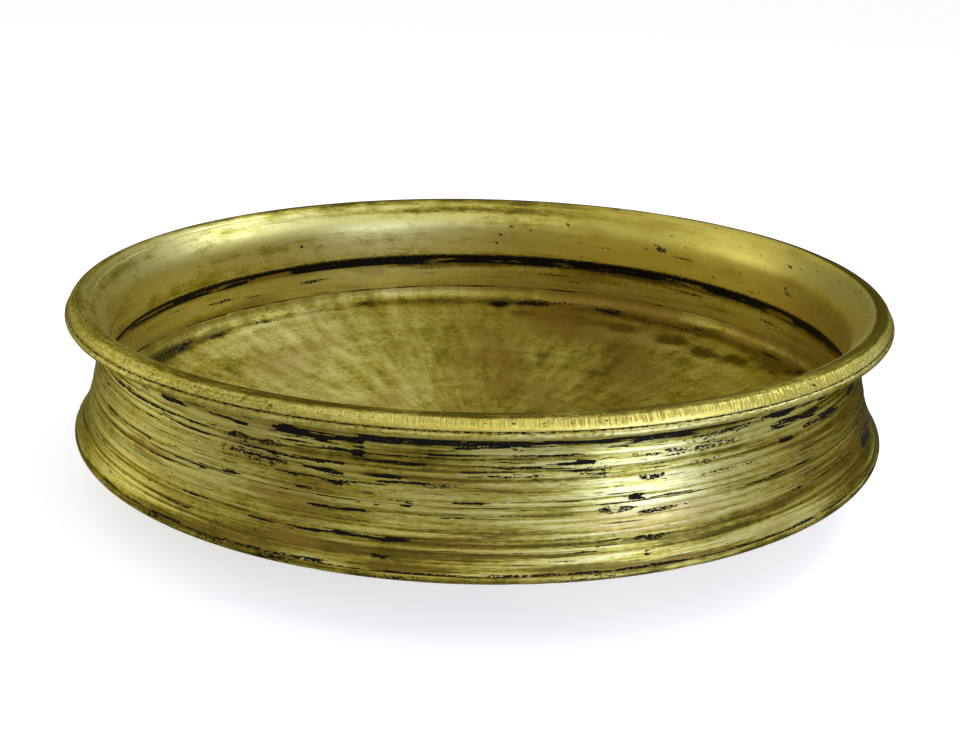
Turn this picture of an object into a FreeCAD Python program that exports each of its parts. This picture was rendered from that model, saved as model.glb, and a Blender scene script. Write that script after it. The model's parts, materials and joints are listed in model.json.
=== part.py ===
import FreeCAD, Part
import os

import Sketcher

# Shallow brass offering vessel with a rolled rim, a waisted wall, a sharp foot edge and a dished base.
#
# Three turned castings are brazed together: the rim collar, the flaring wall ring and the base pan.
# The wall ring has a tongue that sits in a groove in the collar's lower edge, behind an inner lip.
# The pan has a spigot that fits inside the wall ring's foot, and its edge forms the foot lip. A bead
# of brazing metal fills the inner corner of each joint. The vessel rests on the flat middle of its pan.
#
# Every profile lies in the XZ plane, as radius and height, and is turned once about Z. Sizes are in
# millimetres. The origin is the centre of the flat resting face under the pan, with +Z up.

DIMENSIONS = {
    # rim collar: a round roll above a thin groove and a small bead
    "roll_round": 5.7,
    "roll_top_radius": 193.2,
    "roll_top_height": 94.2,
    "roll_inner_radius": 188.5,
    "roll_inner_height": 91.8,
    "roll_outer_radius": 198.8,
    "roll_outer_height": 89.4,
    "groove_depth": 0.6,
    "groove_width": 0.6,
    "bead_edge_radius": 199.0,
    "bead_height": 2.8,
    "bead_round": 1.5,
    "under_rim_radius": 192.6,
    "under_rim_height": 84.6,
    # rim collar: the neck and the wall down to the upper seam
    "neck_radius": 184.4,
    "neck_height": 75.8,
    "neck_round": 9.6,
    "collar_wall_round": 420.0,
    "mouth_radius": 183.7,
    "mouth_height": 84.9,
    "mouth_round": 13.0,
    "throat_radius": 181.1,
    "throat_height": 77.5,
    "throat_round": 90.0,
    "lip_radius": 182.6,
    "lip_height": 61.1,
    "lip_round": 1.0,
    "lip_under_radius": 183.4,
    "lip_under_height": 60.1,
    # upper seam: the wall ring's tongue sits in the collar's groove
    "seam_radius": 189.5,
    "seam_height": 55.0,
    "skirt_thickness": 1.5,
    "tongue_thickness": 1.4,
    "tongue_length": 4.0,
    # wall ring and lower seam
    "foot_radius": 199.0,
    "foot_height": 31.2,
    "wall_outer_round": 62.0,
    "wall_inner_round": 90.0,
    "spigot_radius": 192.0,
    "spigot_thickness": 2.0,
    "spigot_length": 5.4,
    "spigot_clear": 0.8,
    # base pan
    "pan_edge_thickness": 2.8,
    "pan_edge_round": 1.6,
    "pan_corner_radius": 186.4,
    "pan_corner_height": 29.0,
    "pan_corner_round": 8.4,
    "floor_thickness": 3.2,
    "flat_radius": 60.0,
    "underside_round": 354.4,
    "floor_round": 322.5,
    # braze beads
    "upper_bead_leg": 1.5,
    "upper_bead_reach": 0.4,
    "lower_bead_depth": 1.2,
}


class Size:
    """A number with both its value and the spreadsheet expression that drives it."""

    def __init__(self, value, expression):
        self.value = value
        self.expression = expression

    def __add__(self, other):
        return Size(self.value + other.value, f"({self.expression} + {other.expression})")

    def __sub__(self, other):
        return Size(self.value - other.value, f"({self.expression} - {other.expression})")

    def __mul__(self, other):
        return Size(self.value * other.value, f"({self.expression} * {other.expression})")


def make_sheet(doc):
    """Writes the driving dimensions to a sheet and returns them as sizes by name."""
    sheet = doc.addObject("Spreadsheet::Sheet", "Dimensions")
    for row, (name, value) in enumerate(DIMENSIONS.items(), start=1):
        sheet.set(f"A{row}", name)
        sheet.set(f"B{row}", str(value))
        sheet.setAlias(f"B{row}", name)
    doc.recompute()
    return {name: Size(float(sheet.get(name)), f"{sheet.Name}.{name}") for name in DIMENSIONS}


def line():
    """A straight edge to the next corner."""
    return None


def arc(radius, bulge):
    """An arc to the next corner. bulge is "left" or "right" of the way there."""
    return radius, bulge


def arc_middle(start, end, radius, bulge):
    """The middle point of the shorter arc of that radius between two points."""
    chord = end - start
    left = FreeCAD.Vector(-chord.y, chord.x, 0).normalize()
    half = chord.Length / 2
    rise = radius - (radius**2 - half**2) ** 0.5
    side = 1 if bulge == "left" else -1
    return (start + end) * 0.5 + left * (side * rise)


def bind(sketch, kind, geometry, size, name):
    """Adds one dimension to the sketch and ties it to the sheet."""
    index = sketch.addConstraint(Sketcher.Constraint(kind, *geometry, size.value))
    sketch.renameConstraint(index, name)
    sketch.setExpression(f"Constraints.{name}", size.expression)


def draw_profile(sketch, outline):
    """Draws a closed outline of (radius, height, edge to the next corner).

    A radius of None puts the corner on the turning axis, and a height of None puts it on the ground.
    """
    points = [
        FreeCAD.Vector(radius.value if radius else 0, height.value if height else 0, 0)
        for radius, height, edge in outline
    ]
    starts = []
    ends = []
    for index, (radius, height, edge) in enumerate(outline):
        start = points[index]
        end = points[(index + 1) % len(points)]
        if edge is None:
            number = sketch.addGeometry(Part.LineSegment(start, end), False)
        else:
            middle = arc_middle(start, end, edge[0].value, edge[1])
            number = sketch.addGeometry(Part.Arc(start, middle, end), False)
        forward = sketch.getPoint(number, 1).distanceToPoint(start) < 1e-6
        starts.append((number, 1 if forward else 2))
        ends.append((number, 2 if forward else 1))
    for index, (radius, height, edge) in enumerate(outline):
        following = (index + 1) % len(outline)
        sketch.addConstraint(Sketcher.Constraint("Coincident", *ends[index], *starts[following]))
        if edge is not None:
            bind(sketch, "Radius", (starts[index][0],), edge[0], f"round_{index}")
        if radius is None:
            sketch.addConstraint(Sketcher.Constraint("PointOnObject", *starts[index], -2))
        else:
            bind(sketch, "DistanceX", (-1, 1, *starts[index]), radius, f"radius_{index}")
        if height is None:
            sketch.addConstraint(Sketcher.Constraint("PointOnObject", *starts[index], -1))
        else:
            bind(sketch, "DistanceY", (-1, 1, *starts[index]), height, f"height_{index}")


def turned_body(doc, label, outline):
    """A body made by turning an outline once round the Z axis."""
    body = doc.addObject("PartDesign::Body", label)
    body.Label = label
    plane = next(feature for feature in body.Origin.OriginFeatures if feature.Role == "XZ_Plane")
    sketch = body.newObject("Sketcher::SketchObject", f"{label}_profile")
    sketch.AttachmentSupport = [(plane, "")]
    sketch.MapMode = "FlatFace"
    doc.recompute()
    draw_profile(sketch, outline)
    doc.recompute()
    turning = body.newObject("PartDesign::Revolution", f"{label}_turning")
    turning.Profile = sketch
    turning.ReferenceAxis = (sketch, ["V_Axis"])
    turning.Angle = 360
    sketch.Visibility = False
    body.Tip = turning
    doc.recompute()
    return body


def tongue_radii(d):
    """Outer and inner radius of the wall ring's tongue and of the collar's groove for it."""
    outer = d["seam_radius"] - d["skirt_thickness"]
    return outer, outer - d["tongue_thickness"]


def rim_collar_outline(d):
    """Rolled rim, neck and upper wall, with the groove for the wall ring's tongue in its lower edge."""
    tongue_outer, tongue_inner = tongue_radii(d)
    tongue_top = d["seam_height"] + d["tongue_length"]
    groove_radius = d["roll_outer_radius"] - d["groove_depth"]
    bead_top = d["roll_outer_height"] - d["groove_width"]
    return [
        (d["roll_inner_radius"], d["roll_inner_height"], arc(d["roll_round"], "left")),
        (d["roll_top_radius"], d["roll_top_height"], arc(d["roll_round"], "left")),
        (d["roll_outer_radius"], d["roll_outer_height"], line()),
        (groove_radius, d["roll_outer_height"], line()),
        (d["bead_edge_radius"], bead_top, arc(d["bead_round"], "left")),
        (d["bead_edge_radius"], bead_top - d["bead_height"], line()),
        (d["under_rim_radius"], d["under_rim_height"], arc(d["neck_round"], "right")),
        (d["neck_radius"], d["neck_height"], arc(d["collar_wall_round"], "right")),
        (d["seam_radius"], d["seam_height"], line()),
        (tongue_outer, d["seam_height"], line()),
        (tongue_outer, tongue_top, line()),
        (tongue_inner, tongue_top, line()),
        (tongue_inner, d["seam_height"], line()),
        (d["lip_under_radius"], d["lip_under_height"], arc(d["lip_round"], "left")),
        (d["lip_radius"], d["lip_height"], arc(d["throat_round"], "left")),
        (d["throat_radius"], d["throat_height"], arc(d["mouth_round"], "left")),
        (d["mouth_radius"], d["mouth_height"], line()),
    ]


def wall_ring_outline(d):
    """Flaring wall with the tongue on its upper edge and a rebate for the pan's spigot in its foot."""
    tongue_outer, tongue_inner = tongue_radii(d)
    tongue_top = d["seam_height"] + d["tongue_length"]
    rebate_top = d["foot_height"] + d["spigot_length"] + d["spigot_clear"]
    return [
        (tongue_inner, tongue_top, line()),
        (tongue_outer, tongue_top, line()),
        (tongue_outer, d["seam_height"], line()),
        (d["seam_radius"], d["seam_height"], arc(d["wall_outer_round"], "right")),
        (d["foot_radius"], d["foot_height"], line()),
        (d["spigot_radius"], d["foot_height"], line()),
        (d["spigot_radius"], rebate_top, line()),
        (d["spigot_radius"] - d["spigot_thickness"], rebate_top, arc(d["wall_inner_round"], "left")),
        (tongue_inner, d["seam_height"], line()),
    ]


def base_pan_outline(d):
    """Dished pan with a flat resting face, a foot lip and a spigot that fits inside the wall ring."""
    spigot_top = d["foot_height"] + d["spigot_length"]
    return [
        (None, None, line()),
        (None, d["floor_thickness"], line()),
        (d["flat_radius"], d["floor_thickness"], arc(d["floor_round"], "right")),
        (d["pan_corner_radius"], d["pan_corner_height"], arc(d["pan_corner_round"], "right")),
        (d["spigot_radius"] - d["spigot_thickness"], spigot_top, line()),
        (d["spigot_radius"], spigot_top, line()),
        (d["spigot_radius"], d["foot_height"], line()),
        (d["foot_radius"], d["foot_height"], arc(d["pan_edge_round"], "left")),
        (d["foot_radius"], d["foot_height"] - d["pan_edge_thickness"], arc(d["underside_round"], "left")),
        (d["flat_radius"], None, line()),
    ]


def upper_bead_outline(d):
    """Braze bead in the corner between the lip's sloping underside and the wall ring's inner face."""
    tongue_outer, tongue_inner = tongue_radii(d)
    lip_width = tongue_inner - d["lip_under_radius"]
    lip_rise = d["lip_under_height"] - d["seam_height"]
    return [
        (tongue_inner, d["seam_height"], line()),
        (tongue_inner, d["seam_height"] - d["upper_bead_leg"], line()),
        (tongue_inner - lip_width * d["upper_bead_reach"],
         d["seam_height"] + lip_rise * d["upper_bead_reach"], line()),
    ]


def lower_bead_outline(d):
    """Braze bead that fills the gap over the pan's spigot, flush with the inside of the wall."""
    inner_radius = d["spigot_radius"] - d["spigot_thickness"]
    spigot_top = d["foot_height"] + d["spigot_length"]
    return [
        (inner_radius, spigot_top, line()),
        (inner_radius, spigot_top + d["spigot_clear"], line()),
        (inner_radius + d["lower_bead_depth"], spigot_top + d["spigot_clear"], line()),
        (inner_radius + d["lower_bead_depth"], spigot_top, line()),
    ]


def check_document(doc, bodies):
    """Stops with a plain message if any object failed or any part isn't one valid solid."""
    for item in doc.Objects:
        if {"Invalid", "Error"} & set(item.State):
            raise RuntimeError(f"{item.Label} failed: {item.State}")
    for body in bodies:
        shape = body.Shape
        if shape.isNull() or not shape.isValid() or len(shape.Solids) != 1:
            raise RuntimeError(f"{body.Label} is not one valid solid")


def main():
    doc = FreeCAD.newDocument("offering_vessel")
    sizes = make_sheet(doc)
    outlines = {
        "rim_collar": rim_collar_outline,
        "wall_ring": wall_ring_outline,
        "base_pan": base_pan_outline,
        "upper_braze_bead": upper_bead_outline,
        "lower_braze_bead": lower_bead_outline,
    }
    bodies = [turned_body(doc, label, outline(sizes)) for label, outline in outlines.items()]
    check_document(doc, bodies)
    os.makedirs("parts", exist_ok=True)
    for body in bodies:
        body.Shape.exportStep(os.path.join("parts", f"{body.Label}.step"))
        box = body.Shape.optimalBoundingBox()
        print(f"{body.Label}: {body.Shape.Volume / 1000:.1f} cm3, z {box.ZMin:.2f} to {box.ZMax:.2f}, "
              f"radius {box.XMax:.2f}")


main()
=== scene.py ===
import json
import math

import bmesh
import bpy
import numpy as np
from mathutils import Matrix, Vector

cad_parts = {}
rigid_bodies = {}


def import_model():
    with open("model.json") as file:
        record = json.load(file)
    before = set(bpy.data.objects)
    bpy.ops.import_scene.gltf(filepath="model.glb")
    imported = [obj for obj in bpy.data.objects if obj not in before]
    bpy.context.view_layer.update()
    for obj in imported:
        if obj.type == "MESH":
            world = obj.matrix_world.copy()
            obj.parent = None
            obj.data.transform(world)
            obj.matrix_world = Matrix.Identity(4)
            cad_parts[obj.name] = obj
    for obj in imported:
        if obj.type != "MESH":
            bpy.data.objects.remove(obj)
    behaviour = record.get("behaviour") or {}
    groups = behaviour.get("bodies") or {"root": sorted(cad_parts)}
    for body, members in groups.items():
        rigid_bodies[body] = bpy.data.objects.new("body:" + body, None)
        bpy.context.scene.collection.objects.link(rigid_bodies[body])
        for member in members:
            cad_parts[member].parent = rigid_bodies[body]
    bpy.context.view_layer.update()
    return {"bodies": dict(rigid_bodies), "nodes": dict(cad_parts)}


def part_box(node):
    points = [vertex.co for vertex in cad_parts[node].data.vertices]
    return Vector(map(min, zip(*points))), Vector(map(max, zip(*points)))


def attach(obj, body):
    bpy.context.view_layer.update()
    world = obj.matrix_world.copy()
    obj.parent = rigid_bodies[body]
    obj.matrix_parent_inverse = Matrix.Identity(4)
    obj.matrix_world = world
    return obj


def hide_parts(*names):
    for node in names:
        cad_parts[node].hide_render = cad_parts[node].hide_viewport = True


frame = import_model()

# Looks of the brass offering vessel. Each turned casting is a closed lathe mesh round the CAD outline,
# with turning lines, pits, nicks and a wavering surface cut into it. Point attributes carry residue,
# wear, brown stain and turning lines to one brass material, and with them painted light and shade:
# painted shadows under the lip and in the pan's corner, painted highlights on the roll and the pan,
# and painted bands of reflected light and shade round the outer wall.
#
# Lengths are metres unless a name or comment says mm. Azimuths are degrees round the vessel, 0 at the
# front (-Y) and rising towards +X.

MM = 0.001
BODY = next(iter(frame["bodies"]))
COLUMNS = 480
AZIMUTH = np.arange(COLUMNS) * 360 / COLUMNS - 180
MEAN_RADIUS = 0.19
WEAR_DEPTH = 0.2 * MM  # a surface raised this much is fully worn bright

# Heights in mm where the look changes on the collar.
ROLL_FOOT = 84.5
LIP_TOP = 60.5
SHOULDER = 89.3


class Seed:
    """Seeds of the random fields. The numbered tables count on from their first seed."""

    WALL_FINE, WALL_WAVE, WALL_SWELL = 11, 12, 13
    RAGGED, PATCHY, DASHES, SPECKS, BROKEN_TONE = 21, 22, 23, 24, 25
    INSIDE_SOFT, INSIDE_FINE, ROLL_WAVE, PITS, PIT_CROWDS, COLLAR_STAIN = 31, 32, 33, 34, 35, 36
    SCRATCHES, INSIDE_STREAKS, SCUFFS, SHOULDER_EDGE = 37, 38, 39, 40
    RING_INSIDE, RING_THIN, RING_STAIN, RING_WEAR, SHADOW_EDGE = 41, 42, 43, 44, 45
    PAN_RINGS, PAN_DENTS, NICKS, PAN_RAGGED, PAN_STAIN, PAN_BROKEN = 51, 52, 53, 54, 55, 56
    UPPER_BEAD, LOWER_BEAD = 61, 63
    RIGHT_STAIN, INSIDE_MOTTLE, ROLL_STREAKS = 71, 72, 73
    LINE_WANDER, LINE_STRENGTH, MARK_WANDER = 100, 200, 300


# ---------------------------------------------------------------- outlines from the frame


def node_outline(node):
    """The CAD node's outline in the XZ plane, as ordered (radius, height) points read from its mesh.

    The second value says whether the outline is closed. An open one starts and ends on the axis.
    """
    mesh = frame["nodes"][node].data
    places = {}
    index_of = {}
    for vertex in mesh.vertices:
        x, y, z = vertex.co
        if abs(y) < 1e-6 and x > -1e-9:
            key = (round(x, 6), round(z, 6))
            index_of[vertex.index] = places.setdefault(key, len(places))
    neighbours = [set() for _ in places]
    for edge in mesh.edges:
        a, b = (index_of.get(v) for v in edge.vertices)
        if a is not None and b is not None and a != b:
            neighbours[a].add(b)
            neighbours[b].add(a)
    ends = [i for i, near in enumerate(neighbours) if len(near) == 1]
    path = [ends[0] if ends else 0]
    while True:
        onward = [i for i in sorted(neighbours[path[-1]]) if i not in path]
        if not onward:
            break
        path.append(onward[0])
    points = np.array(list(places))[path]
    if ends:
        if points[0, 1] < points[-1, 1]:
            points = points[::-1]
        points = np.vstack([[0, points[0, 1]], points, [0, points[-1, 1]]])
    return points, not ends


def spline(p0, p1, p2, p3, t):
    """Points from p1 to p2 on a smooth curve that also heads from p0 and towards p3."""
    run = np.linalg.norm(p2 - p1)
    start = (p2 - p0) / max(np.linalg.norm(p2 - p1) + np.linalg.norm(p1 - p0), 1e-12) * run
    end = (p3 - p1) / max(np.linalg.norm(p3 - p2) + np.linalg.norm(p2 - p1), 1e-12) * run
    t = t[:, None]
    return ((2 * t**3 - 3 * t**2 + 1) * p1 + (t**3 - 2 * t**2 + t) * start
            + (3 * t**2 - 2 * t**3) * p2 + (t**3 - t**2) * end)


def dense_outline(points, closed, step=0.05 * MM, corner_angle=25, corner_cut=0.35 * MM):
    """A finely divided outline: smooth runs as splines, and each sharp corner slightly rounded."""
    count = len(points)
    ahead = np.roll(points, -1, axis=0) - points
    behind = points - np.roll(points, 1, axis=0)
    turn = np.degrees(np.arctan2(
        behind[:, 0] * ahead[:, 1] - behind[:, 1] * ahead[:, 0], (behind * ahead).sum(1)))
    sharp = np.abs(turn) > corner_angle
    if not closed:
        sharp[0] = sharp[-1] = True
    out = []
    for i in range(count if closed else count - 1):
        j = (i + 1) % count
        p1, p2 = points[i], points[j]
        run = np.linalg.norm(p2 - p1)
        p0 = 2 * p1 - p2 if sharp[i] else points[i - 1]
        p3 = 2 * p2 - p1 if sharp[j] else points[(j + 1) % count]
        cut = min(corner_cut, 0.4 * run)
        round_start = sharp[i] and (closed or i > 0)
        round_end = sharp[j] and (closed or j < count - 1)
        low = cut / run if round_start else 0
        high = 1 - cut / run if round_end else 1
        t = np.linspace(low, high, max(3, int(run / step)))
        out.append(spline(p0, p1, p2, p3, t if round_end else t[:-1]))
        if round_end:
            away = points[(j + 1) % count] - p2
            reach = np.linalg.norm(away)
            leave = p2 + away / reach * min(corner_cut, 0.4 * reach)
            arrive = out[-1][-1]
            u = np.linspace(0, 1, 9)[1:-1, None]
            out.append((1 - u) ** 2 * arrive + 2 * u * (1 - u) * p2 + u**2 * leave)
    return np.vstack(out)


class Rows:
    """The rows of a lathe mesh: radius r, height z, distance s along the outline, outward normal."""

    def __init__(self, node, spacing, sharpest_turn=20):
        points, self.closed = node_outline(node)
        path = dense_outline(points, self.closed)
        if self.closed:
            path = np.vstack([path, path[:1]])
        steps = np.linalg.norm(np.diff(path, axis=0), axis=1)
        path = path[np.r_[True, steps > 1e-9]]
        steps = np.linalg.norm(np.diff(path, axis=0), axis=1)
        s = np.r_[0, np.cumsum(steps)]
        tangent = np.gradient(path, s, axis=0)
        angle = np.unwrap(np.arctan2(tangent[:, 1], tangent[:, 0]))
        bend = np.abs(np.gradient(angle, s))
        density = np.maximum(1 / spacing(path[:, 0] / MM, path[:, 1] / MM),
                             bend / math.radians(sharpest_turn))
        count = np.r_[0, np.cumsum((density[1:] + density[:-1]) / 2 * steps)]
        rows = int(math.ceil(count[-1]))
        at = np.interp(np.linspace(0, count[-1], rows + 1), count, s)
        at = at[:-1] if self.closed else at
        self.r = np.interp(at, s, path[:, 0])
        self.z = np.interp(at, s, path[:, 1])
        self.s = at
        area = np.sum(path[:-1, 0] * path[1:, 1] - path[1:, 0] * path[:-1, 1])
        side = 1 if area > 0 else -1
        self.nr = side * np.interp(at, s, np.sin(angle))
        self.nz = -side * np.interp(at, s, np.cos(angle))

    def heights(self):
        """Heights in mm, as a column."""
        return self.z[:, None] / MM

    def radii(self):
        """Radii in mm, as a column."""
        return self.r[:, None] / MM

    def noise(self, seed, across, around):
        return ring_noise(seed, self.s, across, around)


# ---------------------------------------------------------------- fields over rows and columns


def smooth_step(low, high, value):
    t = np.clip((value - low) / (high - low), 0, 1)
    return t * t * (3 - 2 * t)


def bump(distance, half_width):
    """A smooth bump of height 1 at distance 0 that reaches about 0 at two half widths."""
    return np.exp(-0.5 * (distance / (0.7 * half_width)) ** 2)


def ring_noise(seed, s, across, around, radius=MEAN_RADIUS):
    """Random field over the rows at s and all columns, with its grain across and around the ring."""
    step = across / 3
    count = int(s.max() / step) + 12
    field = np.random.default_rng(seed).standard_normal((count, COLUMNS))
    harmonic = np.fft.rfftfreq(COLUMNS) * COLUMNS
    spectrum = np.fft.rfft(field, axis=1) * np.exp(-0.5 * (harmonic * around / radius / 2) ** 2)
    field = np.fft.irfft(spectrum, COLUMNS, axis=1)
    rate = np.fft.fftfreq(count)[:, None] * 2 * math.pi
    field = np.fft.ifft(np.fft.fft(field, axis=0) * np.exp(-0.5 * (rate * 1.5) ** 2), axis=0).real
    field /= field.std()
    place = s / step + 4
    low = np.floor(place).astype(int)
    part = (place - low)[:, None]
    return (1 - part) * field[low] + part * field[low + 1]


def round_noise(seed, around):
    """A random curve round the ring, one value for each column."""
    return ring_noise(seed, np.zeros(1), MM, around)[0]


def arc_window(start, end, soft):
    """1 between two azimuths, fading over soft degrees inside each end."""
    middle = (start + end) / 2
    half = (end - start) / 2
    away = np.abs((AZIMUTH - middle + 180) % 360 - 180)
    return smooth_step(half, half - min(soft, half), away)


# ---------------------------------------------------------------- marks on the outer wall

# Turned lines on the outer wall: height, half width and depth in mm. A ridge has a negative depth.
LINES = [
    (82.0, 0.5, 0.12), (79.5, 0.4, 0.12), (77.3, 0.5, 0.16), (75.2, 0.4, 0.16), (73.9, 0.6, -0.10),
    (72.5, 0.4, 0.20), (70.3, 0.3, 0.22), (69.3, 0.5, -0.12), (68.2, 0.4, 0.18), (66.6, 0.7, -0.14),
    (65.3, 0.4, 0.18), (63.4, 0.8, -0.12), (61.6, 0.3, 0.10), (60.4, 0.3, 0.12), (58.8, 0.6, -0.12),
    (57.0, 0.3, 0.20), (53.6, 0.6, -0.20), (52.0, 0.5, 0.16), (50.2, 0.8, -0.08), (48.6, 0.3, 0.10),
    (47.2, 0.6, -0.10), (46.0, 0.3, 0.10), (44.4, 0.6, -0.24), (43.0, 0.4, 0.20), (41.0, 0.4, 0.16),
    (39.7, 0.5, -0.12), (38.0, 0.5, 0.16), (36.4, 0.3, 0.10), (34.6, 1.2, -0.16), (33.0, 0.3, 0.10),
]

# Dark residue on the outer wall: height in mm, first and last azimuth, half width in mm, and density.
# A mark of density 1 is solid, and one of about 0.5 is a scatter of dots. The order sets the seeds.
MARKS = [
    (75.8, -34, -27.5, 0.9, 0.9), (77.6, -26, -18.5, 1.9, 1.0), (76.8, -21.5, -12, 1.3, 1.0),
    (77.6, -14.8, -12.6, 2.6, 1.0), (79.4, -15, 8, 2.0, 0.74), (71.6, -14.8, -12.8, 2.0, 1.0),
    (70.1, -15, -4, 0.5, 0.8), (64.7, -22, -15, 0.6, 0.8), (63.6, -20, -14.5, 0.5, 0.75),
    (65.1, -14.5, -7, 0.6, 0.8), (62.6, -13, -3, 0.5, 0.65), (61.4, -26, -9, 0.4, 0.7),
    (72.9, -26, -3, 0.4, 0.7), (74.2, -9, 14, 0.4, 0.7), (67.6, -30, -14, 0.5, 0.7),
    (63.0, -8, -1, 1.0, 0.5), (59.6, -17.6, -14.8, 0.8, 0.85), (57.5, -14.8, -11, 1.4, 0.55),
    (51.3, -21, -11, 0.5, 0.75), (54.7, -8.6, -7, 0.6, 0.85), (41.8, -23, -6, 0.5, 0.8),
    (41.8, -12, -7, 0.55, 0.8), (36.0, -12.4, -9, 0.8, 0.65), (31.3, -62, 64, 0.6, 0.62),
    (55.0, -47, -27, 0.45, 0.95), (64.8, -34, -21, 2.4, 0.46), (70.5, -33, -22, 1.1, 0.55),
    (79.0, 5, 40, 0.9, 0.85), (78.4, 20, 28, 1.5, 0.8), (75.5, 24, 40, 0.9, 0.5),
    (70.9, 8, 15, 0.9, 0.95), (70.0, 2, 9, 0.5, 0.7), (71.5, 17, 36, 1.4, 0.5),
    (67.0, 11, 17, 2.4, 0.42), (63.8, 18.5, 23.5, 1.0, 0.62), (65.5, 24, 33, 0.9, 0.46),
    (55.4, 12.5, 29, 0.45, 0.95), (56.4, 17, 20.5, 1.4, 0.7), (52.3, 12.5, 20, 1.0, 0.55),
    (50.8, 17.5, 25, 1.1, 0.58), (41.5, 17, 23.5, 0.9, 0.55), (35.7, 18.6, 20, 0.9, 0.8),
    (64.8, 40, 45, 1.2, 0.85), (66.5, 45, 58, 0.9, 0.7), (71.5, 38, 52, 1.2, 0.75),
    (76.2, 38, 62, 1.4, 0.85), (68.0, 60, 66, 1.4, 0.75), (41.5, 63, 72, 3.5, 0.7),
    (57.0, -4, 3.5, 0.5, 0.8), (67.8, -3, 6, 0.4, 0.65), (66.4, -3, 9, 0.4, 0.55),
    (43.0, -39, -32, 0.4, 0.7), (52.0, -46, -35, 0.4, 0.65), (38.0, -45, -34, 0.4, 0.6),
    (57.0, -62, -44, 0.4, 0.7), (75.4, -46, -38, 0.7, 0.75), (70.3, -62, -34, 0.4, 0.7),
    (53.0, 33, 50, 0.4, 0.7), (44.0, 40, 60, 0.4, 0.6), (60.4, 22, 40, 0.4, 0.55),
]

# Patches on the outer wall: height in mm, first and last azimuth, half height in mm, brown stain and
# change of brightness. The brown stain is the wall's own; the change of brightness is painted light
# and shade, bands brighter where highlights fall and darker where the wall reflects dark surroundings.
PATCHES = [
    (48, -29, -13, 19, 0.55, -0.3), (66, -36, -20, 8, 0.5, -0.1), (45, -8, 7, 15, 0.1, -0.45),
    (50, 9, 26, 24, 0.0, 0.2), (48, 32, 85, 26, 0.55, -0.8), (50, 50, 120, 34, 0.3, -2.2),
    (60, -66, -36, 22, 0.0, 0.25), (31.0, -80, 80, 5.5, 0.5, -1.6), (38, -80, 80, 9, 0.3, -0.6),
    (71, -30, 14, 12, 0.35, -0.7),
]


def wall_relief(rows):
    """Turned lines of the outer wall: (relief in metres, how deep in a groove each point is)."""
    height = rows.heights()
    relief = np.zeros((len(rows.s), COLUMNS))
    groove = np.zeros_like(relief)
    for number, (level, half_width, depth) in enumerate(LINES):
        wander = 0.22 * round_noise(Seed.LINE_WANDER + number, 0.12)
        strength = np.clip(0.8 + 0.35 * round_noise(Seed.LINE_STRENGTH + number, 0.05), 0.15, 1.6)
        line = bump(height - level - wander, half_width) * strength
        relief -= 0.9 * depth * MM * line
        if depth > 0:
            groove = np.maximum(groove, line * depth / 0.2)
    relief += 0.030 * MM * rows.noise(Seed.WALL_FINE, 0.5 * MM, 0.10)
    relief += 0.035 * MM * rows.noise(Seed.WALL_WAVE, 1.1 * MM, 0.03)
    relief += 0.05 * MM * rows.noise(Seed.WALL_SWELL, 3.0 * MM, 0.04)
    return relief, groove


def wall_residue_and_shade(rows, groove):
    """Dark residue on the outer wall, from 0 to 1, with painted shade darkening its right side."""
    height = rows.heights()
    ragged = rows.noise(Seed.RAGGED, 0.45 * MM, 0.006)
    patchy = rows.noise(Seed.PATCHY, 5 * MM, 0.05)
    residue_and_painted_shade = np.zeros_like(ragged)
    for number, (level, start, end, half_width, density) in enumerate(MARKS):
        window = arc_window(start, end, min(3.5, 0.45 * (end - start)))
        wander = 0.22 * round_noise(Seed.MARK_WANDER + number, 0.02)
        width = half_width * (0.55 + 0.6 * window)
        near = 1 - np.abs(height - level - wander) / width
        tapered = near + 0.4 * ragged - 1.4 * (1 - smooth_step(0, 0.5, window))
        residue_and_painted_shade = np.maximum(residue_and_painted_shade, density * smooth_step(-0.35, 0.35, tapered))

    crowded = smooth_step(50, 70, height) * (0.35 + 0.55 * arc_window(-64, 10, 12))
    dashes = rows.noise(Seed.DASHES, 0.35 * MM, 0.012) + 0.9 * groove + 0.45 * patchy + crowded
    residue_and_painted_shade = np.maximum(residue_and_painted_shade, 0.7 * smooth_step(2.3, 3.2, dashes))

    specks = rows.noise(Seed.SPECKS, 0.35 * MM, 0.001) + 0.35 * patchy
    residue_and_painted_shade = np.maximum(residue_and_painted_shade, 0.8 * smooth_step(2.7, 3.2, specks))

    # Painted shade: the right side of the wall darkened as a painted dark reflection, carried with the
    # residue.
    painted_dark_right = arc_window(44, 136, 34) * smooth_step(1.3, 0.3, np.abs(height - 50) / 24)
    residue_and_painted_shade = np.maximum(residue_and_painted_shade, 0.52 * painted_dark_right * (0.9 + 0.22 * patchy).clip(0.4, 1.1))
    return np.maximum(residue_and_painted_shade, 0.42 * smooth_step(0.4, 1.2, groove))


def wall_tone(rows):
    """Brown stain, from 0 to 1, and painted light and shade as a change of brightness over the outer
    wall.
    """
    height = rows.heights()
    stain = np.zeros((len(rows.s), COLUMNS))
    painted_light = np.zeros_like(stain)
    broken = 0.75 + 0.35 * rows.noise(Seed.BROKEN_TONE, 4 * MM, 0.03)
    for level, start, end, half_height, brown, change in PATCHES:
        window = arc_window(start, end, 0.4 * (end - start))
        patch = window * smooth_step(1.2, 0.5, np.abs(height - level) / half_height) * broken
        stain = np.maximum(stain, brown * patch)
        painted_light += change * patch
    return stain.clip(0, 1), painted_light


# ---------------------------------------------------------------- lathe meshes


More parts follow.
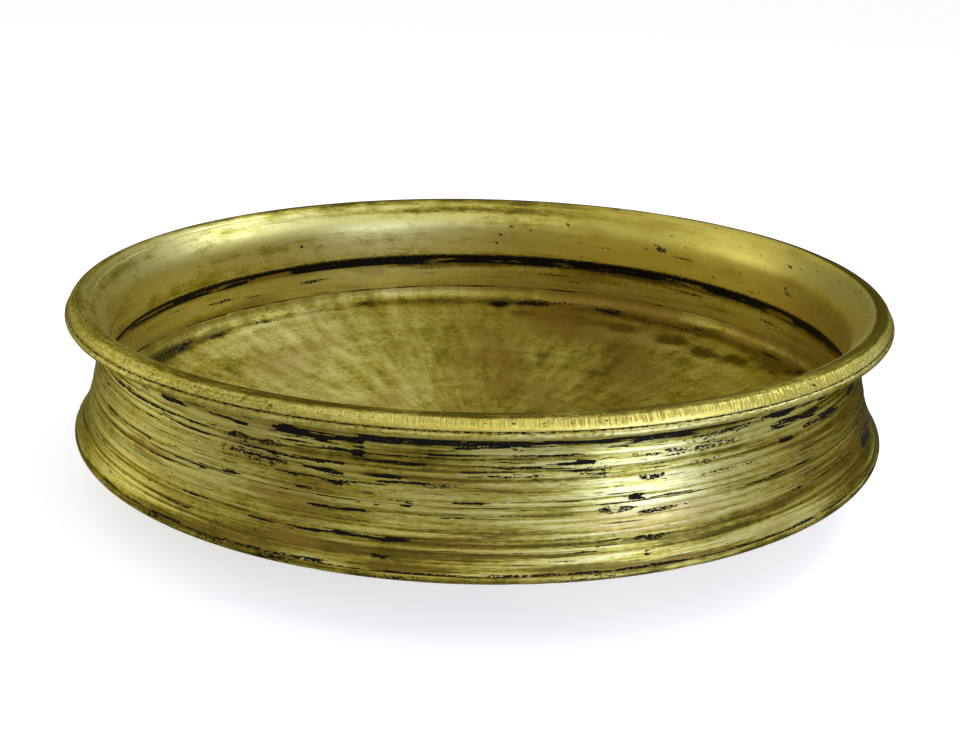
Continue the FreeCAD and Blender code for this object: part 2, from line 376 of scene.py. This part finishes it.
def lathe(name, rows, relief, fields):
    """A closed mesh of the rows turned round Z and pushed out by relief, with its point attributes.

    An open outline's first and last rows lie on the axis, and each becomes one point.
    """
    turn = np.radians(AZIMUTH)
    radius = rows.r[:, None] + rows.nr[:, None] * relief
    height = rows.z[:, None] + rows.nz[:, None] * relief
    grid = np.stack([radius * np.sin(turn), -radius * np.cos(turn), height + 0 * radius], axis=-1)
    poles = [grid[0].mean(0), grid[-1].mean(0)]
    inner = slice(None) if rows.closed else slice(1, -1)
    grid = grid[inner]
    count = len(grid)
    columns = np.arange(COLUMNS)
    onward = (columns + 1) % COLUMNS
    low = np.arange(count if rows.closed else count - 1)[:, None]
    high = (low + 1) % count
    quads = np.stack([low * COLUMNS + columns, low * COLUMNS + onward,
                      high * COLUMNS + onward, high * COLUMNS + columns], axis=-1).reshape(-1, 4)
    points = grid.reshape(-1, 3)
    faces = quads.tolist()
    if not rows.closed:
        top, bottom = 0, (count - 1) * COLUMNS
        points = np.vstack([points, *poles])
        faces += [[top + a, len(points) - 2, top + b] for a, b in zip(onward, columns)]
        faces += [[bottom + a, len(points) - 1, bottom + b] for a, b in zip(columns, onward)]
    mesh = bpy.data.meshes.new(name)
    mesh.from_pydata(points, [], faces)
    for field, values in {**fields, "across": rows.s[:, None]}.items():
        flat = np.broadcast_to(values, (len(rows.s), COLUMNS))[inner].reshape(-1)
        if not rows.closed:
            flat = np.r_[flat, flat[0], flat[-1]]
        attribute = mesh.attributes.new(field, "FLOAT", "POINT")
        attribute.data.foreach_set("value", flat.astype(np.float32))
    mesh.shade_smooth()
    mesh.update()
    if mesh.validate():
        raise RuntimeError(f"{name} has bad faces")
    piece = bpy.data.objects.new(name, mesh)
    bpy.context.scene.collection.objects.link(piece)
    return piece


def turn_outward(piece):
    """Turns the faces outward if the mesh came out inside out."""
    work = bmesh.new()
    work.from_mesh(piece.data)
    if work.calc_volume(signed=True) < 0:
        bmesh.ops.reverse_faces(work, faces=work.faces)
        work.to_mesh(piece.data)
    work.free()


# ---------------------------------------------------------------- materials


class Nodes:
    """A small helper that adds and links the nodes of one tree."""

    def __init__(self, tree):
        self.tree = tree

    def add(self, kind, **settings):
        node = self.tree.nodes.new(kind)
        for key, value in settings.items():
            setattr(node, key, value)
        return node

    def put(self, socket, value):
        """Links a socket to another one, or sets it to a plain value."""
        if isinstance(value, bpy.types.NodeSocket):
            self.tree.links.new(value, socket)
        else:
            socket.default_value = value

    def attribute(self, name):
        return self.add("ShaderNodeAttribute", attribute_name=name).outputs["Fac"]

    def math(self, operation, a, b=0.0):
        node = self.add("ShaderNodeMath", operation=operation)
        self.put(node.inputs[0], a)
        self.put(node.inputs[1], b)
        return node.outputs[0]

    def product(self, a, b):
        return self.math("MULTIPLY", a, b)

    def darker(self, a, b):
        """The stronger of two masks."""
        return self.math("MAXIMUM", a, b)

    def total(self, *terms):
        """The sum of (value, weight) terms."""
        result = None
        for value, weight in terms:
            if isinstance(value, bpy.types.NodeSocket):
                part = value if weight == 1 else self.product(value, weight)
            else:
                part = value * weight
            result = part if result is None else self.math("ADD", result, part)
        return result

    def ramp(self, value, low, high, to_low=0.0, to_high=1.0):
        node = self.add("ShaderNodeMapRange", interpolation_type="SMOOTHSTEP")
        self.put(node.inputs["Value"], value)
        for key, number in zip(("From Min", "From Max", "To Min", "To Max"),
                               (low, high, to_low, to_high)):
            node.inputs[key].default_value = number
        return node.outputs["Result"]

    def mix(self, factor, a, b, kind="RGBA"):
        node = self.add("ShaderNodeMix", data_type=kind)
        self.put(node.inputs["Factor"], factor)
        self.put(node.inputs["A"], a)
        self.put(node.inputs["B"], b)
        return node.outputs["Result"]

    def noise(self, vector, scale, detail=3.0, roughness=0.55):
        """Noise centred on 0."""
        node = self.add("ShaderNodeTexNoise")
        self.put(node.inputs["Vector"], vector)
        node.inputs["Scale"].default_value = scale
        node.inputs["Detail"].default_value = detail
        node.inputs["Roughness"].default_value = roughness
        return self.math("SUBTRACT", node.outputs["Fac"], 0.5)

    def split(self, vector):
        node = self.add("ShaderNodeSeparateXYZ")
        self.put(node.inputs[0], vector)
        return node.outputs

    def vector(self, x, y, z):
        node = self.add("ShaderNodeCombineXYZ")
        for socket, value in zip(node.inputs, (x, y, z)):
            self.put(socket, value)
        return node.outputs[0]


def new_material(name):
    """A material with one Principled shader: (material, its Nodes, the shader's inputs)."""
    material = bpy.data.materials.new(name)
    material.use_nodes = True
    n = Nodes(material.node_tree)
    n.tree.nodes.clear()
    out = n.add("ShaderNodeOutputMaterial")
    shader = n.add("ShaderNodeBsdfPrincipled")
    n.put(out.inputs["Surface"], shader.outputs["BSDF"])
    return material, n, shader.inputs


def colour(red, green, blue):
    return (red, green, blue, 1.0)


PALE = colour(0.82, 0.73, 0.21)
OLIVE = colour(0.50, 0.41, 0.05)
DIM = colour(0.15, 0.115, 0.014)
BROWN = colour(0.40, 0.255, 0.04)
EDGE = colour(0.90, 0.80, 0.38)
# The gold colour below is mixed in as a painted highlight on the roll's shoulder and as golden tone
# inside at the back right.
GOLD_TONE_AND_SHEEN = colour(1.0, 0.82, 0.13)
SOOT = colour(0.006, 0.005, 0.004)

CUT_RATE = 260.0  # short cuts over the roll, in noise cells per radian
# The rate below sets the painted highlight streaks on the pan.
HIGHLIGHT_RAY_RATE = 15.0  # streaks on the pan, in noise cells per radian


def brass(name, tone, rough, fan_highlight=0.0, cut_depth=0.0):
    """Aged turned brass.

    tone moves it from olive to pale, the fan weight paints highlight streaks towards the axis into the
    colour, and cut_depth adds short cuts across the roll, its painted gold sheen and its grit. The
    point attributes say where each of these lies.
    """
    material, n, shader = new_material(name)
    x, y, z = n.split(n.add("ShaderNodeTexCoord").outputs["Object"])
    across = n.attribute("across")
    turned = n.attribute("turned")
    reach = n.math("SQRT", n.math("ADD", n.product(x, x), n.product(y, y)))
    reach = n.math("ADD", reach, 2 * MM)
    turn_x = n.math("DIVIDE", x, reach)
    turn_y = n.math("DIVIDE", y, reach)

    def ring_grain(around, over, detail, roughness):
        """Noise with its scale, per metre, round the ring and over the outline."""
        place = n.vector(n.product(x, around), n.product(y, around), n.product(across, over))
        return n.noise(place, 1.0, detail, roughness)

    spots = n.vector(x, y, z)
    lines = n.product(ring_grain(22, 800, 4.0, 0.6), turned)
    hair = n.product(ring_grain(35, 1500, 3.0, 0.6), turned)
    flecks = ring_grain(300, 1500, 3.0, 0.6)
    speckle = ring_grain(650, 1500, 3.0, 0.65)
    cloud = n.noise(spots, 34.0, 5.0, 0.62)
    mottle = n.noise(spots, 130.0, 5.0, 0.62)
    grain = n.noise(spots, 850.0, 3.0, 0.6)

    light = n.total((lines, 3.0), (cloud, 1.1), (mottle, 0.9), (flecks, 1.5),
                    (n.attribute("wear_and_painted_light"), 0.6), (tone, 1.0))
    # Painted highlight: streaks running towards the axis, painted into the colour in place of
    # reflected light on the turned pan.
    if fan_highlight:
        highlight_ray = n.noise(n.vector(turn_x, turn_y, n.product(reach, 2.5)), HIGHLIGHT_RAY_RATE, 4.0, 0.6)
        light = n.math("ADD", light, n.product(highlight_ray, fan_highlight))
    tint = n.mix(n.ramp(light, 0.1, 1.0), OLIVE, PALE)
    tint = n.mix(n.ramp(light, -0.45, 0.35), DIM, tint)
    brown = n.total((n.attribute("stain"), 1.0), (cloud, 0.6), (mottle, 0.8))
    tint = n.mix(n.ramp(brown, 0.0, 1.0, 0.0, 0.9), tint, BROWN)

    residue_and_painted_shade = n.total((n.attribute("residue_and_painted_shade"), 1.0), (speckle, 1.4), (flecks, 0.6))
    soot = n.ramp(residue_and_painted_shade, 0.42, 0.58)
    scored = n.total((hair, 1.0), (cloud, 0.35), (mottle, 0.25))
    scored = n.ramp(scored, 0.11, 0.23, 0.0, 0.85)
    specks = n.ramp(n.total((grain, 1.0), (cloud, 0.25)), 0.25, 0.32, 0.0, 0.8)
    dark = n.darker(n.darker(soot, specks), scored)
    relief = n.total((hair, 0.7), (lines, 0.8), (grain, 0.4), (flecks, 0.7), (soot, -0.3))
    if cut_depth:
        grit = n.product(ring_grain(500, 900, 3.0, 0.65), n.attribute("grit"))
        relief = n.total((relief, 1.0), (grit, 2.2))
        tint = n.mix(n.ramp(grit, 0.0, 0.14, 0.0, 0.75), tint, DIM)
        cuts = n.noise(n.vector(turn_x, turn_y, n.product(across, 0.3)), CUT_RATE, 2.0)
        cuts = n.product(n.ramp(cuts, -0.05, 0.12), n.attribute("cuts_and_highlight"))
        relief = n.total((relief, 1.0), (cuts, -cut_depth))
        dark = n.darker(dark, n.product(cuts, 0.2))
        # Painted highlight: gold mixed into the colour where the shoulder catches the light, and
        # golden tone inside at the back right.
        tint = n.mix(n.product(n.attribute("gold_tone_and_sheen"), 0.85), tint, GOLD_TONE_AND_SHEEN)

    n.put(shader["Base Color"], n.mix(dark, tint, SOOT))
    n.put(shader["Metallic"], n.ramp(dark, 0.6, 1.0, 0.96, 0.3))
    satin = n.total((lines, 0.25), (mottle, 0.2), (rough, 1.0))
    n.put(shader["Roughness"], n.mix(dark, satin, 0.75, "FLOAT"))
    shader["Specular IOR Level"].default_value = 0.25
    shader["Specular Tint"].default_value = EDGE
    shader["Anisotropic"].default_value = 0.6
    shader["Anisotropic Rotation"].default_value = 0.25
    tangent = n.add("ShaderNodeTangent", direction_type="RADIAL", axis="Z")
    n.put(shader["Tangent"], tangent.outputs[0])

    bumps = n.add("ShaderNodeBump")
    bumps.inputs["Strength"].default_value = 0.75
    bumps.inputs["Distance"].default_value = 0.2 * MM
    n.put(bumps.inputs["Height"], relief)
    n.put(shader["Normal"], bumps.outputs[0])
    return material


# ---------------------------------------------------------------- pieces


def finish_piece(piece, node, material):
    turn_outward(piece)
    piece.data.materials.append(material)
    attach(piece, BODY)
    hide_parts(node)


def collar_spacing(r, z):
    """Gap between rows: fine on the turned wall and wide in the joint behind the lip."""
    wall = (r > 184.2) & (z < ROLL_FOOT)
    joint = (r < 188.3) & (z < LIP_TOP)
    gap = np.where(wall, 0.36, np.where(z > ROLL_FOOT, 0.75, 1.8))
    return np.where(joint, 2.5, gap) * MM


# Thin grooves round the roll: height in mm, half width in mm and density of the dirt in them.
MAIN_GROOVE = 89.1
ROLL_GROOVES = [(MAIN_GROOVE, 0.36, 0.66), (90.6, 0.3, 0.55), (92.0, 0.3, 0.5)]


def make_collar():
    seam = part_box("rim_collar")[0].z / MM
    rows = Rows("rim_collar", collar_spacing)
    height = rows.heights()
    reach = rows.radii()
    facing = rows.nr[:, None]

    # Where each zone lies.
    outside = smooth_step(0.1, 0.4, facing) * smooth_step(seam, seam + 0.8, height)
    wall = outside * smooth_step(85.0, 83.5, height)
    inside = smooth_step(-0.1, -0.5, facing) * smooth_step(LIP_TOP, 62, height)
    roll = smooth_step(86.0, 88.0, height)
    outer = smooth_step(0, 0.6, facing)
    back_right = arc_window(88, 178, 30) * inside

    # Shape, the dirt that follows it, and painted shade under the lip.
    relief, groove = wall_relief(rows)
    brown, painted_light = wall_tone(rows)
    residue_and_painted_shade = wall_residue_and_shade(rows, groove) * wall
    soft = rows.noise(Seed.INSIDE_SOFT, 3.5 * MM, 0.03)
    fine = rows.noise(Seed.INSIDE_FINE, 1.0 * MM, 0.12)
    push = relief * wall + inside * (0.03 * soft + 0.012 * fine) * MM
    push += roll * (0.025 * rows.noise(Seed.ROLL_WAVE, 2.5 * MM, 0.012) + 0.012 * fine) * MM
    scratched = (0.6 + 0.4 * rows.noise(Seed.SCRATCHES, 1.5 * MM, 0.02)).clip(0, 1)
    for level, half_width, density in ROLL_GROOVES:
        line = bump(height - level, half_width) * outer
        broken = 1 if level == MAIN_GROOVE else scratched
        residue_and_painted_shade = np.maximum(residue_and_painted_shade, density * line * broken)
        push -= 0.08 * MM * line
    inner_line = bump(reach - 187.6, 0.5) * (height > 90) * arc_window(-110, 110, 30)
    residue_and_painted_shade = np.maximum(residue_and_painted_shade, 0.5 * scratched * inner_line)
    edge = smooth_step(-0.35, 0.0, facing) * (height > 91) * arc_window(92, 172, 15)
    residue_and_painted_shade = np.maximum(residue_and_painted_shade, edge * (0.45 + 0.25 * (scratched - 0.5)))
    pits = smooth_step(2.6, 3.2, rows.noise(Seed.PITS, 0.6 * MM, 0.0015)
                       + 0.4 * rows.noise(Seed.PIT_CROWDS, 6 * MM, 0.03))
    residue_and_painted_shade = np.maximum(residue_and_painted_shade, 0.8 * pits * (roll + inside).clip(0, 1))
    push -= 0.06 * MM * pits
    # Painted shade with residue: the lip's downward faces darkened, a painted shadow in the gap under
    # the overhang.
    shade_under_lip = smooth_step(0.2, -0.7, rows.nz[:, None]) * (height < 85)
    residue_and_painted_shade = np.maximum(residue_and_painted_shade, shade_under_lip * smooth_step(62, 58, height))

    # Wear and painted light: short cuts on a painted highlight along the shoulder, painted shade on
    # the crown and along the roll's right and back, streaks inside, and a painted lit patch inside at
    # the back right.
    shoulder = facing + 0.025 * round_noise(Seed.SHOULDER_EDGE, 0.003)
    cuts_and_highlight = smooth_step(SHOULDER, SHOULDER + 0.6, height) * smooth_step(0.46, 0.66, shoulder)
    cuts_and_highlight = cuts_and_highlight * (0.2 + 0.8 * arc_window(-24, 72, 26))
    cut_zone = np.maximum(smooth_step(0.93, 0.78, shoulder), arc_window(26, 74, 14))
    shaded_crown = 0.3 + 0.7 * arc_window(-52, 118, 25)
    shaded_crown = shaded_crown * smooth_step(0.70, 0.36, shoulder) * smooth_step(-0.6, -0.25, facing)
    shaded_crown = shaded_crown * smooth_step(90, 91, height)
    # The wall's patches add their painted light and shade to the wear here.
    wear_and_painted_light = np.clip(push / WEAR_DEPTH, -1, 1) + 0.9 * cuts_and_highlight - 1.6 * shaded_crown + painted_light * wall
    # Painted shade: the roll darkened along its right and back.
    roll_streaks = rows.noise(Seed.ROLL_STREAKS, 2 * MM, 0.10)
    wear_and_painted_light -= roll * arc_window(55, 240, 30) * (0.9 + 0.3 * roll_streaks)
    wear_and_painted_light += inside * (0.2 + 0.3 * rows.noise(Seed.INSIDE_STREAKS, 4 * MM, 0.09))
    wear_and_painted_light += 0.22 * inside * rows.noise(Seed.INSIDE_MOTTLE, 1.6 * MM, 0.006)
    # Painted light: the inside brightened at the back right.
    wear_and_painted_light += 1.8 * arc_window(50, 165, 30) * inside

    # Stain and scuffs.
    stain = smooth_step(0.4, 1.8, rows.noise(Seed.COLLAR_STAIN, 6 * MM, 0.07))
    stain = (0.6 - 0.3 * inside) * stain
    right_stain = (0.28 + 0.22 * rows.noise(Seed.RIGHT_STAIN, 4 * MM, 0.015)).clip(0, 1)
    stain = np.maximum(stain, right_stain * back_right)
    stain = np.maximum(stain, brown * wall)
    scuffs = rows.noise(Seed.SCUFFS, 1.0 * MM, 0.006) + 0.5 * soft
    scuffs = smooth_step(1.6, 2.6, scuffs) * inside * (0.5 + 0.5 * back_right)
    residue_and_painted_shade = np.maximum(residue_and_painted_shade, 0.6 * scuffs)

    fields = {
        "residue_and_painted_shade": residue_and_painted_shade, "wear_and_painted_light": wear_and_painted_light, "stain": stain,
        "turned": np.maximum(1 - inside - 0.4 * roll, 0.25 * inside),
        "cuts_and_highlight": cuts_and_highlight * cut_zone,
        "gold_tone_and_sheen": np.maximum(cuts_and_highlight, 0.6 * back_right),
        "grit": roll * smooth_step(-0.35, 0.15, facing),
    }
    piece = lathe("rim_collar_cast", rows, push, fields)
    material = brass("collar_brass", tone=0.6, rough=0.42, cut_depth=4.0)
    finish_piece(piece, "rim_collar", material)


def ring_spacing(r, z):
    """Gap between rows: fine on the turned outside."""
    outside = (r > 188.6 + (55 - z) * 0.1) & (z < 54.9)
    return np.where(outside, 0.32, 1.2) * MM


def make_wall():
    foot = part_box("wall_ring")[0].z / MM
    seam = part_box("rim_collar")[0].z / MM
    rows = Rows("wall_ring", ring_spacing)
    height = rows.heights()
    facing = rows.nr[:, None]
    outside = smooth_step(0.1, 0.4, facing)
    inside = smooth_step(-0.1, -0.5, facing)
    wall = outside * smooth_step(foot, foot + 0.8, height) * smooth_step(seam, seam - 0.8, height)

    relief, groove = wall_relief(rows)
    brown, painted_light = wall_tone(rows)
    inside_wave = rows.noise(Seed.RING_INSIDE, 2.5 * MM, 0.05)
    push = relief * wall + inside * 0.03 * inside_wave * MM

    residue_and_painted_shade = wall_residue_and_shade(rows, groove) * outside
    thin = smooth_step(1.0, 2.4, rows.noise(Seed.RING_THIN, 0.8 * MM, 0.02))
    residue_and_painted_shade = np.maximum(residue_and_painted_shade, inside * (0.12 + 0.5 * thin))

    # Painted shade with residue: the dark line under the collar's lip, a painted shadow over the
    # residue in the gap, thinner at the back left.
    level = height + 0.6 * rows.noise(Seed.SHADOW_EDGE, 1 * MM, 0.012)
    level = level - 2.0 * arc_window(186, 300, 24)
    residue_and_painted_shade = np.maximum(residue_and_painted_shade, 0.95 * inside * smooth_step(52.6, 54.6, level))

    # The wall's patches add their painted light and shade to the wear here.
    wear_and_painted_light = np.clip(push / WEAR_DEPTH, -1, 1) + painted_light * outside
    wear_and_painted_light += inside * (0.3 * rows.noise(Seed.RING_WEAR, 3 * MM, 0.03) + 0.55)
    # Painted shade: a soft painted shadow darkening the wall below the lip.
    wear_and_painted_light -= 2.2 * inside * smooth_step(48.5, 54.0, level)
    stain = 0.6 * smooth_step(0.2, 1.6, rows.noise(Seed.RING_STAIN, 8 * MM, 0.025))
    stain = np.maximum(np.maximum(stain, 0.2 * inside), brown * outside)
    fields = {"residue_and_painted_shade": residue_and_painted_shade, "wear_and_painted_light": wear_and_painted_light, "stain": stain, "turned": 1 - 0.6 * inside}
    piece = lathe("wall_ring_cast", rows, push, fields)
    finish_piece(piece, "wall_ring", brass("wall_brass", tone=0.55, rough=0.42))


# Soft dark blots on the pan: radius in mm, azimuth, half width in mm, half arc in degrees, density.
# Only a blot of density 1 is solid residue.
BLOTS = [
    (182.8, 176, 2.0, 1.2, 1.0), (175, 170, 3, 3, 0.5), (174, 163, 3, 4, 0.6),
    (173, 156, 3, 4, 0.65), (171.5, 150, 4, 2.5, 0.7), (171.4, 137, 4, 2.5, 0.65),
    (169, 127, 3.5, 3, 0.55), (173, 120, 3, 4, 0.5), (179, 113, 3, 4, 0.5),
    (182, 148, 1.5, 10, 0.45), (186.5, 124, 2, 22, 0.5), (186.5, -122, 2.5, 20, 0.5),
    (135, 143, 14, 1.5, 0.33), (150, 147, 10, 1.5, 0.3),
]


def pan_spacing(r, z):
    """Gap between rows: fine at the edge and wide underneath."""
    return np.where(r > 184, 0.9, np.where(z > 3.0, 2.2, 7.0)) * MM


def make_pan():
    rows = Rows("base_pan", pan_spacing)
    reach = rows.radii()
    top = smooth_step(0.3, 0.7, rows.nz[:, None])
    lip = smooth_step(0.2, 0.6, rows.nr[:, None]) * smooth_step(195, 198, reach)
    outer = smooth_step(150, 176, reach) * top
    corner = bump(reach - 185, 4) * top
    left = arc_window(-170, -112, 25)
    right = 1 - left

    rings = rows.noise(Seed.PAN_RINGS, 4 * MM, 0.12)
    dents = rows.noise(Seed.PAN_DENTS, 12 * MM, 0.02)
    push = top * (0.03 * rings + 0.06 * dents) * MM
    nick = smooth_step(1.2, 2.2, rows.noise(Seed.NICKS, 3 * MM, 0.004))
    push -= lip * 0.25 * nick * MM
    push[reach[:, 0] < 12] *= 0.2

    ragged = rows.noise(Seed.PAN_RAGGED, 3 * MM, 0.006)
    residue_and_painted_shade = np.zeros_like(ragged)
    shade = np.zeros_like(ragged)
    for level, azimuth, half_width, half_arc, density in BLOTS:
        along = ((AZIMUTH - azimuth + 180) % 360 - 180) / half_arc
        away = np.hypot((reach - level) / half_width, along) - 0.25 * ragged
        blot = density * smooth_step(1.9, 0.3, away) * top
        shade = np.maximum(shade, blot)
        residue_and_painted_shade = np.maximum(residue_and_painted_shade, blot if density == 1 else 0.3 * blot)
    broken = rows.noise(Seed.PAN_BROKEN, 2 * MM, 0.012)
    # Dirt and painted shade in the corner between the floor and the wall.
    corner_dirt_and_shade = (0.2 + 0.22 * right + 0.25 * broken).clip(0, 0.7)
    residue_and_painted_shade = np.maximum(residue_and_painted_shade, corner * corner_dirt_and_shade)
    residue_and_painted_shade = np.maximum(residue_and_painted_shade, lip * (0.34 + 0.15 * broken))

    stain = 0.35 + 0.25 * rows.noise(Seed.PAN_STAIN, 20 * MM, 0.03)
    stain = stain + 0.15 * smooth_step(155, 182, reach)
    stain = stain - 0.3 * arc_window(-179, -60, 50) - 0.6 * left * smooth_step(175, 182, reach)
    stain = stain.clip(0, 1) * (1 - 0.8 * lip)
    # Painted highlight on the corner fillet at the left, and painted shade in the corner at the right.
    wear_and_painted_light = np.clip(rings * 0.15, -1, 1) + 0.5 * left * bump(reach - 184, 5)
    wear_and_painted_light = wear_and_painted_light - 1.2 * right * corner - 2.6 * shade
    # Painted highlight: the left half of the floor lit brighter.
    wear_and_painted_light += 0.3 * arc_window(-179, -60, 40)
    wear_and_painted_light -= 0.5 * lip
    turned = 0.06 + 0.94 * lip + 0.2 * outer
    fields = {"residue_and_painted_shade": residue_and_painted_shade, "wear_and_painted_light": wear_and_painted_light, "stain": stain, "turned": turned}
    piece = lathe("base_pan_cast", rows, push, fields)
    material = brass("pan_brass", tone=0.3, rough=0.44, fan_highlight=1.7)
    finish_piece(piece, "base_pan", material)


def make_bead(node, name, seed, density):
    """A bead of brazing metal. A greater density covers it with more residue."""
    rows = Rows(node, lambda r, z: 0.35 * MM + 0 * r)
    push = 0.05 * MM * rows.noise(seed, 1.5 * MM, 0.004)
    residue_and_painted_shade = np.clip(density + 0.3 * rows.noise(seed + 1, 2 * MM, 0.01), 0, 1)
    fields = {"residue_and_painted_shade": residue_and_painted_shade, "wear_and_painted_light": 0.0, "stain": 0.9, "turned": 0.3}
    piece = lathe(name, rows, push, fields)
    finish_piece(piece, node, brass("braze_" + node, tone=0.3, rough=0.55))


make_collar()
make_wall()
make_pan()
make_bead("upper_braze_bead", "upper_braze", Seed.UPPER_BEAD, 0.8)
make_bead("lower_braze_bead", "lower_braze", Seed.LOWER_BEAD, 0.2)

# ---------------------------------------------------------------- stage, light and camera

PLAIN = (1, 1, 1)
COOL = (0.80, 0.98, 2.5)
MILD = (0.82, 0.97, 1.9)
VESSEL_MIDDLE = Vector((0, 0, 0.05))

# Soft lights aimed at the vessel: name, azimuth, elevation, distance, width, height, watts, tint.
SOFTBOXES = [
    ("key", 40, 8, 1.2, 0.42, 0.40, 3.6, COOL),
    ("overhead", 10, 60, 2.2, 2.6, 1.8, 6, PLAIN),
    ("front", 12, 24, 1.8, 0.25, 0.25, 0.9, COOL),
    ("left_fill", -105, 20, 1.8, 1.0, 1.2, 3, PLAIN),
    ("floor_fan", 122, 50, 1.8, 0.5, 0.8, 9, MILD),
]


def make_floor(half=9.0):
    mesh = bpy.data.meshes.new("floor")
    corners = [(-half, -half, 0), (half, -half, 0), (half, half, 0), (-half, half, 0)]
    mesh.from_pydata(corners, [], [(0, 1, 2, 3)])
    floor = bpy.data.objects.new("floor", mesh)
    bpy.context.scene.collection.objects.link(floor)
    material, _, shader = new_material("floor_paper")
    shader["Base Color"].default_value = colour(0.86, 0.86, 0.85)
    shader["Roughness"].default_value = 0.9
    shader["Emission Color"].default_value = colour(1, 1, 1)
    shader["Emission Strength"].default_value = 0.6
    mesh.materials.append(material)
    floor.visible_glossy = False


def make_world():
    """A pale surround, brighter above than below, and dimmer low down behind the vessel."""
    world = bpy.data.worlds.new("studio")
    bpy.context.scene.world = world
    world.use_nodes = True
    n = Nodes(world.node_tree)
    _, depth, height = n.split(n.add("ShaderNodeTexCoord").outputs["Generated"])
    behind = n.product(n.ramp(depth, 0.1, 0.7), n.ramp(height, 0.3, 0.7, 1, 0))
    strength = n.product(n.ramp(height, -0.3, 0.3, 0.32, 0.46), n.ramp(behind, 0, 1, 1, 0.4))
    background = n.tree.nodes["Background"]
    background.inputs["Color"].default_value = colour(1, 1, 1)
    n.put(background.inputs["Strength"], strength)


def softbox(name, azimuth, elevation, distance, width, height, power, tint):
    light = bpy.data.lights.new(name, "AREA")
    light.shape = "RECTANGLE"
    light.size = width
    light.size_y = height
    light.energy = power
    light.color = tint
    lamp = bpy.data.objects.new(name, light)
    bpy.context.scene.collection.objects.link(lamp)
    turn = math.radians(azimuth)
    rise = math.radians(elevation)
    level = math.cos(rise)
    away = Vector((math.sin(turn) * level, -math.cos(turn) * level, math.sin(rise)))
    lamp.location = VESSEL_MIDDLE + away * distance
    lamp.rotation_euler = (-away).to_track_quat("-Z", "Y").to_euler()


def make_camera():
    camera = bpy.data.cameras.new("camera")
    camera.lens = 48.273
    camera.sensor_width = 36.0
    eye = bpy.data.objects.new("camera", camera)
    bpy.context.scene.collection.objects.link(eye)
    place = Matrix.Translation((0.000585, -0.625980, 0.259859))
    look_down = math.radians(90 - 18.8203)
    roll = 0.0215663
    eye.matrix_world = place @ Matrix.Rotation(look_down, 4, "X") @ Matrix.Rotation(roll, 4, "Z")
    bpy.context.scene.camera = eye


make_floor()
make_world()
for settings in SOFTBOXES:
    softbox(*settings)
make_camera()
bpy.context.scene.view_settings.view_transform = "Standard"
